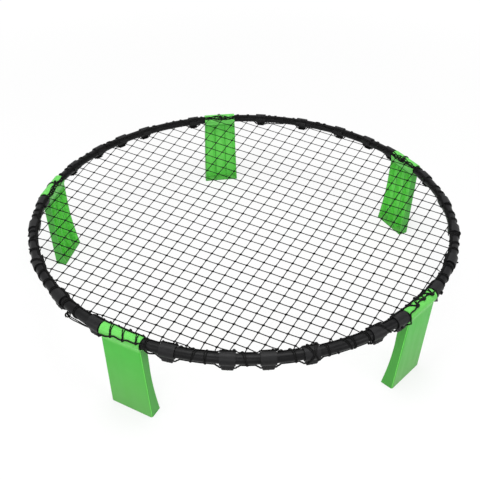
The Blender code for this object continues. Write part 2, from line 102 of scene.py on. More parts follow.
HOOK_SHARES = (  # each section's hooks, from 0 close to one sleeve to 1 close to the next
    (0.003, 0.169, 0.367, 0.612, 0.869),
    (0.036, 0.352, 0.512, 0.682, 0.892),
    (0.012, 0.212, 0.507, 0.768, 1.000),
    (0.068, 0.291, 0.439, 0.599, 0.878, 1.000),
    (0.003, 0.221, 0.460, 0.698, 0.948),
)
NET_ANGLES = (-30.5, 67.0)  # degrees about Z, of each set of strands
NET_DRAW = 0.42  # per metre
NET_DRAW_ANGLE = 91.2  # degrees about Z, where the meshes are widest
NET_KNOT = (-0.0065, -0.2017)  # a knot, before the net is drawn
CORD_RADIUS = 0.0014
CORD_GAP = 0.0004
CORD_LUG_TURN = 168.0  # where the cord lies in a hook's lug
SLEEVE_HALF_ANGLE = math.degrees(math.asin(SLEEVE_LENGTH / 2 / RING_RADIUS))
SLEEVE_BEND = RING_RADIUS * (1 - math.cos(math.radians(SLEEVE_HALF_ANGLE)))  # of the ring within a sleeve
AXIS_RADIUS = RING_RADIUS - SLEEVE_BEND / 2  # of the sleeves' straight axes
BORE_RADIUS = TUBE_RADIUS + SLEEVE_BEND / 2 + TURNING_GAP + BORE_ROUNDING
SLEEVE_RADIUS = BORE_RADIUS + SLEEVE_WALL
HOOK_HALF_ANGLE = math.degrees(HOOK_LENGTH / 2 / RING_RADIUS)
HOOK_BORE = TUBE_RADIUS + HOOK_CLEARANCE
HOOK_RADIUS = HOOK_BORE + HOOK_WALL
HOOK_INSIDE = RING_RADIUS - HOOK_RADIUS  # the bands' side nearest to the ring's axis
FIRST_HOOK_ANGLE = math.degrees(  # from a leg's middle to a hook close to its sleeve
    math.atan2(HOOK_LENGTH / 2, HOOK_INSIDE)
    + math.asin((SLEEVE_LENGTH / 2 + HOOK_SLEEVE_GAP) / math.hypot(HOOK_INSIDE, HOOK_LENGTH / 2))
)
CORD_LUG_DISTANCE = HOOK_RADIUS + CORD_GAP + CORD_RADIUS + LUG_REACH

# Finer forms of the tubes, legs and hooks
TUBE_SIDES = 40
TUBE_STEPS = 72
TUBE_SHARP_ANGLE = 40  # degrees
WELD = 0.00001  # points closer than this become one
SLEEVE_SIDES = 56
LEG_CURVE_STEPS = 22
LEG_CORNER_STEPS = 8
LEG_EDGE = 0.0007  # rounding of the moulding's edges
LEG_SIDE_SKIN = 0.0006  # from a leg's side, where a face still counts as on it
SIDE_PAINTED_SHADE = 1.0  # outsides of the side walls, darkened by painted shade
BAY_FLOOR_PAINTED_LIGHT = 2.0  # floors of the bays between the ribs, lightened by painted light
BAY_WALL_PAINTED_LIGHT = 3.0  # walls of the bays, lightened by painted light
RIB_PAINTED_SHADE = 4.0  # edges of the ribs, darkened by painted shade
SQUARE_ON = 0.7  # least part of a normal along an axis, where a face counts as across it
HOOK_SIDES = 44
HOOK_EDGE = 0.0005
EDGE_ANGLE = 34  # degrees between faces from which an edge is rounded
LUG_STEPS = 12
LUG_RIBS = 5
LUG_RIB_FAN = 130.0  # degrees, from the first rib to the last
LUG_RIB_RADIUS = 0.0015
LUG_RIB_REACH = (0.86, 0.80)  # of the low ends, as shares of the lug's half length and its height
LUG_RIB_TOP = 0.35  # the upper ends' spread, as a share of the low ends'
LUG_RIB_TIP = 0.06  # of a rib's length, past its low end
LUG_RIB_SHARES = (0.7, 1.0, 0.5)  # of its radius, at the upper end, the low end and the tip
LUG_RIB_SIDES = 12

# Finer forms of the net
NET_PITCHES = (0.02895, 0.02805)  # along each set of strands, before the net is drawn
NET_LEVEL = 0.1967
NET_STRAND = 0.0009  # radius
NET_JITTER = 0.0005
NET_SIDES = 6
NET_REACH = math.ceil(1.5 * RING_RADIUS / min(NET_PITCHES))  # meshes to each side, past the rim
NET_BOW = 0.0003
NET_SAG = 0.6  # of the bow, downward
NET_BOW_PLACES = (0.35, 0.7)  # shares of the way from knot to knot
NET_CUT_HALVINGS = 30
KNOT_HALF_LENGTH = 0.0029
KNOT_RADIUS = 0.0020
KNOT_LEANS = (0.3, 1.0)  # how far a knot leans from one strand toward the other
LUMP_SIDES = 8
LUMP_RINGS = 5
LUMP_AHEAD = 0.5  # degrees along the ring, from a lump to where it points
LUMP_TILT = 9  # degrees of turn, at most
BORDER_TURN = -46.0  # middle of the net's border, a bundle of strands laid on the rim
BORDER_RADIUS = 0.0010
BORDER_STRANDS = 6
BORDER_STEP = 0.3  # degrees
BORDER_SPREAD = 15.0  # degrees of turn to each side
BORDER_SLEEVE_SPREAD = 26.0  # the same on a sleeve
BORDER_SLEEVE_DROP = 6.0  # degrees of turn, lower on a sleeve
BORDER_EASE = 3.0  # degrees along the ring, across a sleeve's end
BORDER_WAVES = ((19, 34), (41, 67))  # fewest and most in a round, of the long and the short waves
BORDER_SHARES = (0.7, 0.3)  # of the long and the short waves
BORDER_SINK = 0.3  # of a strand's radius, by which it sinks at most
BORDER_LUMP_PITCH = 2.6  # degrees, between the bundle's lumps
BORDER_LUMP_JITTER = 0.35  # of the pitch
BORDER_LUMP_PLACES = (-1.0, 0.6)  # shares of the bundle's spread
BORDER_LUMP_SIZES = (0.9, 1.5)  # of a knot's radius
BORDER_LUMP_LENGTH = 1.3  # of its own radius, to each end
NET_EDGE = RING_RADIUS + TUBE_RADIUS * math.sin(math.radians(BORDER_TURN))
PHASE_LIMIT = 6.3  # radians, of a wave's random start
TWIST_LIMIT = 9  # millimetres, of a strand's random start along its twist
TOUCH = 0.00015  # from a strand to what it lies on
STRAND_EASE = 0.32  # degrees along the ring to each side of a step, over which a strand climbs it
LOOP_EASE = 0.1  # the same for a loop

# Finer forms of the edge cord
CORD_SIDES = 10
CORD_STEPS = 1440
CORD_REST_TURN = 156.0  # where the cord lies against a tube
CORD_SLEEVE_TURNS = (  # at the start, the middle and the end of each leg's sleeve
    (92, 92, 92),
    (92, 92, 92),
    (92, 92, 92),
    (102, 64, 44),
    (40, 4, 26),
)
CORD_LEAVE = 0.0026  # from a band's end to where the cord is halfway up
CORD_RISE = 0.0080  # from a band's end to where the cord is at rest
CORD_SLEEVE_INSET = 0.01  # degrees inside a sleeve's end
CORD_WOBBLE = 2.2  # degrees of turn
CORD_WAVES = (31, 7.3)  # in a round, of the two waves whose product is the wobble
CORD_CALM_ANGLE = 2.2  # degrees from a hook's middle, within which the cord doesn't wobble
CORD_CALM_EASE = 1.5  # degrees after that, over which the wobble grows
CORD_SLEEVE_WAVES = 103  # in a round
CORD_SLEEVE_PHASE = 40  # degrees
LOOP_PITCH = 3.5  # degrees
LOOP_JITTER = 0.9  # degrees, at most
LOOP_SLANT = 2.2  # degrees along the ring from a loop's start to its knot, at most
LOOP_SLEEVE_GAP = 1.0  # degrees from a sleeve's end to the first loop on the tube
LOOP_HOOK_GAP = 2.2  # from a band's end, times a strand's radius
LOOP_SLEEVE_TURN = -32.0  # where a loop starts on a sleeve, clear of the folded leg
LOOP_SLEEVE_REACH = 1.8  # degrees past a sleeve's end, where a loop still starts there
LOOP_STEPS = 14
LOOP_STRAND = 0.0009  # radius
LOOP_CLOSED = 0.95  # from the loop's middle to each strand at the knot, times its radius
LOOP_SPREAD = 0.0017  # what is added to that where the loop leaves the net
LOOP_RISE = 0.2  # last share of the way, over which a loop rises onto the cord
LOOP_KNOT_RADIUS = 0.0024
LOOP_KNOT_TURN = 4  # degrees past the cord
LOOP_KNOT_RISE = 0.0006
LOOP_KNOT_AHEAD = 0.3  # degrees along the ring, from a knot to where it points
LOOP_KNOT_LENGTHS = (1.0, 1.25)
LOOP_KNOT_WIDTHS = (0.9, 1.1)
BIG_KNOT_LEG = 4
BIG_KNOT_SHARE = 1.45
SLEEVE_LOOPS = (  # (start, knot) in degrees from each leg's middle
    ((0.5, 0.9),),
    ((0.0, 0.4),),
    ((-0.9, -0.4),),
    ((-3.0, -1.9), (0.1, 1.3), (3.6, 4.5)),
    ((-3.6, -2.2), (-0.9, -2.0), (-0.5, 0.7), (1.9, 0.9), (2.4, 3.6), (4.6, 3.8)),
)
STRAY_LOOPS = (  # (start, knot) in degrees along the ring, of loops that cross others
    (283.2, 286.4),
    (286.0, 283.4),
    (300.6, 304.4),
    (345.0, 349.0),
    (62.0, 65.5),
    (208.0, 204.5),
    (196.0, 199.0),
)
TANGLES = (  # (degrees along the ring, turn, radius)
    (27.6, -64, 0.0036),
    (27.2, -46, 0.0036),
    (26.7, -28, 0.0030),
    (98.8, -46, 0.0034),
    (98.3, -62, 0.0028),
    (169.3, -20, 0.0030),
    (335.7, 98, 0.0024),
    (322.4, 96, 0.0030),
    (298.8, 124, 0.0022),
    (290.1, 120, 0.0022),
    (306.9, 120, 0.0026),
    (194.9, 62, 0.0020),
    (200.8, 70, 0.0020),
)
TANGLE_LUMPS = 3
TANGLE_SPREAD = 0.8  # of its radius, to each side
TANGLE_SLANT = 0.3  # degrees along the ring, at most
TANGLE_RISE = 0.55  # of its radius, above the surface
TANGLE_AIM = TUBE_RADIUS * 1.6  # from the tubes' centre line to where a lump points
TANGLE_LENGTHS = (0.8, 1.1)
TANGLE_WIDTHS = (0.5, 0.75)
SLACK_STRANDS = (  # (from, to, in degrees along the ring, turn, reach away from the tube)
    (226.4, 234, 130.0, 0.0036),
    (226.4, 234.8, 130, 0.0062),
    (84.0, 75.5, -124, 0.0046),
)
SLACK_RADIUS = 0.0011
SLACK_STEPS = 32
SLACK_RIPPLE = 0.0004
SLACK_RIPPLE_PHASE = 9  # radians, from end to end
CURL_ANGLE = 227.2  # of a curled loose end beside the slack strands, along the ring
CURL_TURN = 127.0
CURL_RADIUS = 0.0047
CURL_GAP = 0.0008
CURL_FACING = (0.3, -0.8, 0.76)
CURL_STEPS = 39
CURL_STEP_ANGLE = 14  # degrees
CURL_SHRINK = 0.3  # of its radius, by the end
CURL_LEAD = 0.00006  # along its axis, in each step

rng = random.Random(7)


def leg_degrees(index):
    """The middle of this leg, along the ring."""
    return FIRST_LEG_ANGLE + index * SECTION_ANGLE


def direction(degrees):
    """The cosine and the sine."""
    return math.cos(math.radians(degrees)), math.sin(math.radians(degrees))


def along_ring(length):
    """The degrees that this length takes along the ring."""
    return math.degrees(length / RING_RADIUS)


def rim_point(degrees, turn, distance):
    """The point this far from the tubes' centre line, at this place along the ring and in this turn."""
    (x, y), (up, out) = direction(degrees), direction(turn)
    radius = RING_RADIUS + distance * out
    return Vector((radius * x, radius * y, RIM_HEIGHT + distance * up))


def from_leg(degrees):
    """Degrees from the nearest leg's middle."""
    return (degrees - FIRST_LEG_ANGLE + SECTION_ANGLE / 2) % SECTION_ANGLE - SECTION_ANGLE / 2


def section_hooks(section):
    room = SECTION_ANGLE - 2 * FIRST_HOOK_ANGLE
    return [leg_degrees(section) + FIRST_HOOK_ANGLE + share * room for share in HOOK_SHARES[section]]


HOOKS = [
    (f"hook_{section + 1}_{order}", degrees)
    for section in range(LEG_COUNT)
    for order, degrees in enumerate(section_hooks(section), start=1)
]


def to_hook(degrees):
    """Degrees to the nearest hook's middle."""
    return min((abs((degrees - hook + 180) % 360 - 180) for _, hook in HOOKS))


def held(share):
    """The share, held between 0 and 1."""
    return min(1.0, max(0.0, share))


def either_way(limit):
    return rng.uniform(-limit, limit)


# Making and placing pieces


def add_object(name, data):
    made = bpy.data.objects.new(name, data)
    bpy.context.scene.collection.objects.link(made)
    return made


def add_piece(node, mesh, material, body):
    """The finer piece that replaces this node."""
    piece = add_object(node + "_fine", mesh)
    mesh.materials.append(material)
    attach(piece, body)
    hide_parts(node)
    return piece


def placed_copy(shape, place, degrees):
    """A smooth copy of this shape, turned about Z and moved to its place."""
    mesh = shape.copy()
    mesh.transform(Matrix.Translation(place) @ Matrix.Rotation(math.radians(degrees), 4, "Z"))
    mesh.shade_smooth()
    return mesh


def mesh_from(bm, name):
    """A mesh of this bmesh, which is freed."""
    mesh = bpy.data.meshes.new(name)
    bm.to_mesh(mesh)
    bm.free()
    return mesh


def taken_mesh(obj, name):
    """The object's shape with its modifiers, its close points welded; the object is removed."""
    bpy.context.view_layer.update()
    graph = bpy.context.evaluated_depsgraph_get()
    mesh = bpy.data.meshes.new_from_object(obj.evaluated_get(graph))
    mesh.transform(obj.matrix_world)
    bpy.data.objects.remove(obj, do_unlink=True)
    bm = bmesh.new()
    bm.from_mesh(mesh)
    bmesh.ops.remove_doubles(bm, verts=bm.verts, dist=WELD)
    bmesh.ops.recalc_face_normals(bm, faces=bm.faces)
    return mesh_from(bm, name)


def outline_solid(name, points, thickness):
    """A mesh with this outline, given as points (x, z), and this thickness along y."""
    curve = bpy.data.curves.new(name, "CURVE")
    curve.dimensions = "2D"
    curve.fill_mode = "BOTH"
    curve.extrude = thickness / 2
    spline = curve.splines.new("POLY")
    spline.points.add(len(points) - 1)
    for target, (x, z) in zip(spline.points, points):
        target.co = (x, z, 0, 1)
    spline.use_cyclic_u = True
    obj = add_object(name + "_outline", curve)
    obj.matrix_world = Matrix.Rotation(math.radians(90), 4, "X")
    return taken_mesh(obj, name)


def join_by_boolean(name, first, steps):
    """The first mesh, joined with or cut by the others in turn."""
    body = add_object(name + "_body", first)
    helpers = []
    for mesh, operation in steps:
        helper = add_object(mesh.name, mesh)
        helpers.append(helper)
        modifier = body.modifiers.new(mesh.name, "BOOLEAN")
        modifier.operation = operation
        modifier.object = helper
        modifier.solver = "EXACT"
    mesh = taken_mesh(body, name)
    for helper in helpers:
        bpy.data.objects.remove(helper, do_unlink=True)
    return mesh


def round_edges(piece, width):
    """Small round edges, with the flat faces kept flat in the shading."""
    bevel = piece.modifiers.new("edges", "BEVEL")
    bevel.width = width
    bevel.segments = 2
    bevel.limit_method = "ANGLE"
    bevel.angle_limit = math.radians(EDGE_ANGLE)
    bevel.use_clamp_overlap = True
    normals = piece.modifiers.new("normals", "WEIGHTED_NORMAL")
    normals.keep_sharp = True


class Strands:
    """Collects bars and knots into one mesh.

    Their UV runs round a bar in turns and along it in millimetres.
    """

    def __init__(self):
        self.points = []
        self.faces = []
        self.uvs = []

    def bar(self, route, radius, sides, closed=False, start_along=0.0):
        """A round bar along this route, with one radius or one for each point."""
        count = len(route)
        radii = radius if isinstance(radius, list) else [radius] * count
        base = len(self.points)
        ways = []
        for i in range(count):
            before, after = (i - 1, (i + 1) % count) if closed else (max(i - 1, 0), min(i + 1, count - 1))
            ways.append((route[after] - route[before]).normalized())
        side = ways[0].orthogonal().normalized()
        along = start_along
        alongs = []
        for i, (point, way) in enumerate(zip(route, ways)):
            if i:
                along += (point - route[i - 1]).length * 1000
            alongs.append(along)
            side = (side - way * side.dot(way)).normalized()
            other = way.cross(side)
            for k in range(sides):
                turn = 2 * math.pi * k / sides
                self.points.append(point + (side * math.cos(turn) + other * math.sin(turn)) * radii[i])
        for i in range(count if closed else count - 1):
            j = (i + 1) % count
            start, end = alongs[i], alongs[i] + (route[j] - route[i]).length * 1000
            near, far = base + i * sides, base + j * sides
            for k in range(sides):
                m = (k + 1) % sides
                u, v = k / sides, (k + 1) / sides
                self.faces.append((near + k, near + m, far + m, far + k))
                self.uvs += [(u, start), (v, start), (v, end), (u, end)]
        if not closed:
            for i, order in ((0, -1), (count - 1, 1)):
                self.faces.append(tuple(base + i * sides + k for k in range(sides))[::order])
                self.uvs += [(k / sides, alongs[i]) for k in range(sides)]

    def lump(self, centre, way, half_length, radius):
        """A rounded lump, longest along this way."""
        way = way.normalized()
        shares = [math.cos(math.pi * (i + 0.5) / LUMP_RINGS) for i in range(LUMP_RINGS)]
        route = [centre - way * half_length * share for share in shares]
        radii = [radius * math.sqrt(1 - share * share) for share in shares]
        self.bar(route, radii, LUMP_SIDES)

    def mesh(self, name):
        mesh = bpy.data.meshes.new(name)
        mesh.from_pydata(self.points, [], self.faces)
        layer = mesh.uv_layers.new(name="strand")
        layer.data.foreach_set("uv", [value for uv in self.uvs for value in uv])
        mesh.shade_smooth()
        return mesh


# Materials: scales are per metre, and the heights of bumps in metres

MOTTLE_SCALE = 38.0
FLOW_SCALE = 120.0
FLOW_STRETCH = (1.0, 1.0, 0.12)
FLOW_HEIGHT = 0.0004
GRAIN_SCALE = 900.0
GRAIN_HEIGHT = 0.00025
DUST_SCALE = 55.0
FIBRE_SCALE = 2600.0
FIBRE_HEIGHT = 0.0003
TWIST_HEIGHT = 0.0005
TWINE_ROUGHNESS = 0.80
TWINE_SPECULAR = 0.08


class Nodes:
    """Short ways to add and join the nodes of a material or a world."""

    def __init__(self, owner):
        owner.use_nodes = True
        self.tree = owner.node_tree

    def add(self, kind, values=(), **settings):
        node = self.tree.nodes.new(kind)
        for key, value in settings.items():
            setattr(node, key, value)
        return self.set(node, dict(values))

    def noise(self, where, scale, detail=3.0, roughness=0.5):
        values = {"Vector": where, "Scale": scale, "Detail": detail, "Roughness": roughness}
        return self.add("ShaderNodeTexNoise", values).outputs["Fac"]

    def between(self, value, low, high, start=0.3, end=0.7):
        values = {"Value": value, "From Min": start, "From Max": end, "To Min": low, "To Max": high}
        return self.add("ShaderNodeMapRange", values).outputs["Result"]

    def mix(self, factor, first, second):
        """Mixes two colours, each a node's output or three numbers."""
        colours = [(*each, 1.0) if isinstance(each, tuple) else each for each in (first, second)]
        node = self.add("ShaderNodeMix", {0: factor, 6: colours[0], 7: colours[1]}, data_type="RGBA")
        return node.outputs[2]

    def blend(self, factor, first, second):
        """Mixes two shaders."""
        return self.add("ShaderNodeMixShader", {0: factor, 1: first, 2: second}).outputs[0]

    def math(self, operation, *values):
        return self.add("ShaderNodeMath", dict(enumerate(values)), operation=operation).outputs[0]

    def bump(self, height, strength, distance, under=None):
        values = {"Height": height, "Strength": strength, "Distance": distance}
        if under:
            values["Normal"] = under
        return self.add("ShaderNodeBump", values).outputs["Normal"]

    def shown_directly(self):
        """1 for camera, glossy and transmission rays, and 0 for the others, by Light Path."""
        rays = self.add("ShaderNodeLightPath").outputs
        seen = self.math("MAXIMUM", rays["Is Camera Ray"], rays["Is Glossy Ray"])
        return self.math("MAXIMUM", seen, rays["Is Transmission Ray"])

    def set(self, node, values):
        """Gives the inputs of this node their values, each a node's output or numbers."""
        for key, value in values.items():
            if isinstance(value, bpy.types.NodeSocket):
                self.tree.links.new(value, node.inputs[key])
            else:
                node.inputs[key].default_value = value
        return node


def moulded_plastic(name, high, low, streak, roughness, specular, grain, heights=(), painted_shading_colours=None):
    """Satin moulded plastic, mottled between two colours, with faint flow marks and fine grain.

    `heights` are (from, to, colour): the colour comes in over that height; the legs use it for painted
    light.
    The last argument holds the colours of painted light and painted shade, one for each number that the
    faces carry in a face attribute.
    """
    material = bpy.data.materials.new(name)
    nodes = Nodes(material)
    where = nodes.add("ShaderNodeTexCoord").outputs["Object"]
    mottle = nodes.noise(where, MOTTLE_SCALE, 4.0)
    fine = nodes.noise(where, GRAIN_SCALE, 2.0)
    stretched = nodes.add("ShaderNodeMapping", {"Vector": where, "Scale": FLOW_STRETCH}).outputs["Vector"]
    flow = nodes.noise(stretched, FLOW_SCALE, 3.0)
    colour = nodes.mix(nodes.between(mottle, 0.0, 1.0), low, high)
    for start, end, other in heights:
        height = nodes.add("ShaderNodeSeparateXYZ", {"Vector": where}).outputs["Z"]
        colour = nodes.mix(nodes.between(height, 0.0, 1.0, start, end), colour, other)
    colour = nodes.mix(nodes.between(flow, 0.0, 0.22), colour, streak)
    # Faces marked with a number get painted light or painted shade
    if painted_shading_colours:
        painted_shading = nodes.add("ShaderNodeAttribute", attribute_name="painted_shading").outputs["Fac"]
        for number, other in painted_shading_colours.items():
            colour = nodes.mix(nodes.between(painted_shading, 0.0, 1.0, number - 0.6, number - 0.4), colour, other)
    looks = {
        "Base Color": colour,
        "Roughness": nodes.between(flow, roughness - 0.05, roughness + 0.07),
        "Normal": nodes.bump(fine, grain, GRAIN_HEIGHT, nodes.bump(flow, 0.06, FLOW_HEIGHT)),
        "Specular IOR Level": specular,
    }
    nodes.set(nodes.tree.nodes["Principled BSDF"], looks)
    return material


def twisted_cord(name, dark, light, strands, pitch):
    """Twisted black twine: strands wound at this pitch in millimetres, with loose fibres, painted shade in
    the grooves and painted sheen on the crests.
    """
    material = bpy.data.materials.new(name)
    nodes = Nodes(material)
    uv = nodes.add("ShaderNodeUVMap", uv_map="strand").outputs["UV"]
    parts = nodes.add("ShaderNodeSeparateXYZ", {"Vector": uv}).outputs
    along = nodes.math("MULTIPLY", parts["Y"], 1.0 / pitch)
    winding = nodes.math("MULTIPLY_ADD", parts["X"], float(strands), along)
    wave = nodes.math("SINE", nodes.math("MULTIPLY", winding, 2 * math.pi))
    where = nodes.add("ShaderNodeTexCoord").outputs["Object"]
    fibre = nodes.noise(where, FIBRE_SCALE, 2.0, 0.7)
    dust = nodes.noise(where, DUST_SCALE, 4.0)
    # painted shade in the grooves of the twist and painted sheen on the strands' crests, following the
    # twist's bump
    colour = nodes.mix(nodes.between(wave, 0.0, 0.55, -1.0, 1.0), dark, light)
    colour = nodes.mix(nodes.between(dust, 0.0, 0.35), colour, light)
    looks = {
        "Base Color": colour,
        "Roughness": nodes.between(fibre, TWINE_ROUGHNESS - 0.08, TWINE_ROUGHNESS + 0.1),
        "Normal": nodes.bump(fibre, 0.35, FIBRE_HEIGHT, nodes.bump(wave, 0.55, TWIST_HEIGHT)),
        "Specular IOR Level": TWINE_SPECULAR,
    }
    nodes.set(nodes.tree.nodes["Principled BSDF"], looks)
    return material


green = moulded_plastic(
    "leg_green",
    high=(0.062, 0.435, 0.046),
    low=(0.054, 0.405, 0.040),
    streak=(0.085, 0.375, 0.060),
    roughness=0.38,
    specular=0.14,
    grain=0.10,
    heights=(  # painted light: duller toward the foot for light bounced from the floor, and brighter on the sleeve where it faces the lamps
        (0.15, 0.0, (0.105, 0.365, 0.074)),
        (RIM_HEIGHT - 0.016, RIM_HEIGHT - 0.011, (0.125, 0.515, 0.094)),
    ),
    # painted shade on the side walls and rib edges, and painted light in the bays
    painted_shading_colours={
        SIDE_PAINTED_SHADE: (0.060, 0.31, 0.046),
        BAY_FLOOR_PAINTED_LIGHT: (0.150, 0.62, 0.105),
        BAY_WALL_PAINTED_LIGHT: (0.170, 0.70, 0.115),
        RIB_PAINTED_SHADE: (0.040, 0.26, 0.030),
    },
)
black_tube = moulded_plastic(
    "rim_black",
    high=(0.0085, 0.0085, 0.009),
    low=(0.003, 0.003, 0.0033),
    streak=(0.008, 0.008, 0.0085),
    roughness=0.36,
    specular=0.10,
    grain=0.12,
)
black_hook = moulded_plastic(
    "hook_black",
    high=(0.009, 0.009, 0.0095),
    low=(0.006, 0.006, 0.0065),
    streak=(0.017, 0.017, 0.018),
    roughness=0.46,
    specular=0.14,
    grain=0.22,
)
net_twine = twisted_cord("net_twine", dark=(0.003,) * 3, light=(0.010,) * 3, strands=2, pitch=3.2)
edge_twine = twisted_cord("edge_twine", dark=(0.004,) * 3, light=(0.013,) * 3, strands=3, pitch=4.6)

# Rim tubes


def tube_mesh(index):
    end_angle = along_ring(SLEEVE_STOP / 2 + TUBE_END_GAP)
    start = leg_degrees(index) + end_angle
    span = SECTION_ANGLE - 2 * end_angle
    points, faces = [], []
    for distance in (TUBE_RADIUS, TUBE_RADIUS - TUBE_WALL):
        for step in range(TUBE_STEPS + 1):
            for side in range(TUBE_SIDES):
                place = start + span * step / TUBE_STEPS
                points.append(rim_point(place, 360 * side / TUBE_SIDES, distance))
    layer = (TUBE_STEPS + 1) * TUBE_SIDES
    for step in range(TUBE_STEPS):
        for side in range(TUBE_SIDES):
            a, b = step * TUBE_SIDES + side, step * TUBE_SIDES + (side + 1) % TUBE_SIDES
            faces.append((a, b, b + TUBE_SIDES, a + TUBE_SIDES))
            faces.append((layer + a, layer + a + TUBE_SIDES, layer + b + TUBE_SIDES, layer + b))
    for end in (0, TUBE_STEPS * TUBE_SIDES):
        for side in range(TUBE_SIDES):
            a, b = end + side, end + (side + 1) % TUBE_SIDES
            ring = (a, layer + a, layer + b, b)
            faces.append(ring if end == 0 else ring[::-1])
    bm = bmesh.new()
    verts = [bm.verts.new(point) for point in points]
    for face in faces:
        bm.faces.new([verts[number] for number in face])
    bmesh.ops.recalc_face_normals(bm, faces=bm.faces)
    mesh = mesh_from(bm, f"rim_tube_{index + 1}_fine")
    mesh.shade_smooth()
    mesh.set_sharp_from_angle(angle=math.radians(TUBE_SHARP_ANGLE))
    return mesh


# Legs, in their own frame: x outward, y along the sleeve, depth down from the sleeve's axis


def leg_inner_edge(depth):
    if depth <= LEG_WAIST_DEPTH:
        return LEG_INNER_TOP + (LEG_INNER_WAIST - LEG_INNER_TOP) * depth / LEG_WAIST_DEPTH
    share = (depth - LEG_WAIST_DEPTH) / (RIM_HEIGHT - LEG_WAIST_DEPTH)
    return LEG_INNER_WAIST + (LEG_INNER_FOOT - LEG_INNER_WAIST) * share**LEG_FLARE_POWER


def leg_outer_face(depth):
    return LEG_OUTER_TOP + (LEG_OUTER_FOOT - LEG_OUTER_TOP) * depth / RIM_HEIGHT


def leg_width(depth):
    return LEG_TOP_WIDTH + (LEG_FOOT_WIDTH - LEG_TOP_WIDTH) * depth / RIM_HEIGHT


def leg_edge_line(top, bottom, inset):
    depths = [top + (bottom - top) * step / LEG_CURVE_STEPS for step in range(LEG_CURVE_STEPS + 1)]
    return [(inset - leg_inner_edge(depth), -depth) for depth in depths]


def flare(mesh):
    """Scales a mesh made for the foot's width along y to the leg's width at each height."""
    for vertex in mesh.vertices:
        vertex.co.y *= leg_width(-vertex.co.z) / LEG_FOOT_WIDTH


def leg_section(depth):
    """Points (x, y) round the leg at this depth, with its two outer corners rounded."""
    centre_x = leg_outer_face(depth) - LEG_CORNER_RADIUS
    centre_y = leg_width(depth) / 2 - LEG_CORNER_RADIUS
    side = [(-leg_inner_edge(depth), leg_width(depth) / 2)]
    for step in range(LEG_CORNER_STEPS + 1):
        turn = math.pi / 2 * step / LEG_CORNER_STEPS
        x = centre_x + LEG_CORNER_RADIUS * math.sin(turn)
        side.append((x, centre_y + LEG_CORNER_RADIUS * math.cos(turn)))
    return side + [(x, -y) for x, y in reversed(side)]


def leg_shell_mesh():
    steps = range(LEG_CURVE_STEPS + 1)
    depths = [LEG_START_DEPTH + (RIM_HEIGHT - LEG_START_DEPTH) * step / LEG_CURVE_STEPS for step in steps]
    bm = bmesh.new()
    rings = [[bm.verts.new((x, y, -depth)) for x, y in leg_section(depth)] for depth in depths]
    for upper, lower in zip(rings, rings[1:]):
        for order in range(len(upper)):
            bm.faces.new((upper[order - 1], upper[order], lower[order], lower[order - 1]))
    bm.faces.new(rings[0])
    bm.faces.new(rings[-1])
    bmesh.ops.recalc_face_normals(bm, faces=bm.faces)
    return mesh_from(bm, "leg_shell")


def leg_bays_mesh():
    """The cutter of the hollows beside the ribs."""
    top, bottom = SLEEVE_RADIUS + LEG_WALL, RIM_HEIGHT - LEG_WALL
    profile = leg_edge_line(top, bottom, -CUT_PAST)
    profile += [(leg_outer_face(depth) - LEG_WALL, -depth) for depth in (bottom, top)]
    count = LEG_RIB_COUNT + 1
    width = (LEG_FOOT_WIDTH - 2 * LEG_WALL - LEG_RIB_COUNT * LEG_RIB) / count
    merged = bmesh.new()
    for bay in range(count):
        solid = outline_solid("leg_bay", profile, width)
        solid.transform(Matrix.Translation((0, (bay - (count - 1) / 2) * (width + LEG_RIB), 0)))
        merged.from_mesh(solid)
    mesh = mesh_from(merged, "leg_bays")
    flare(mesh)
    return mesh


def leg_setback_mesh():
    """The cutter that takes the ribs back from the side walls' inner edge."""
    top = SLEEVE_RADIUS + LEG_WALL + LEG_RIB / 2
    bottom = RIM_HEIGHT - LEG_WALL - LEG_RIB / 2
    outline = leg_edge_line(top, bottom, -2 * CUT_PAST) + leg_edge_line(top, bottom, LEG_RIB_SETBACK)[::-1]
    mesh = outline_solid("leg_setback", outline, LEG_FOOT_WIDTH * LEG_RIB_COUNT / (LEG_RIB_COUNT + 1))
    flare(mesh)
    return mesh


def cylinder_along_y(name, radius, y_low, y_high):
    turned = Matrix.Translation((0, (y_low + y_high) / 2, 0)) @ Matrix.Rotation(math.radians(90), 4, "X")
    bm = bmesh.new()
    sizes = {"radius1": radius, "radius2": radius, "depth": y_high - y_low}
    bmesh.ops.create_cone(bm, cap_ends=True, segments=SLEEVE_SIDES, matrix=turned, **sizes)
    return mesh_from(bm, name)


def leg_painted_shading(x, y, depth, normal):
    """The number of the painted light or painted shade on the face at this place, or 0 where it has the
    leg's own colour.
    """
    on_side = abs(y) > leg_width(depth) / 2 - LEG_SIDE_SKIN
    across_y = abs(normal.y) > SQUARE_ON
    if depth <= SLEEVE_RADIUS:
        return 0.0
    if on_side:
        return SIDE_PAINTED_SHADE if across_y else 0.0
    if x >= leg_outer_face(depth) - LEG_WALL / 2 or abs(normal.z) >= SQUARE_ON:
        return 0.0
    if across_y:
        return BAY_WALL_PAINTED_LIGHT
    if x > 2 * LEG_RIB_SETBACK - leg_inner_edge(depth):
        return BAY_FLOOR_PAINTED_LIGHT
    return RIB_PAINTED_SHADE if abs(y) < leg_width(depth) / 2 - LEG_WALL else 0.0


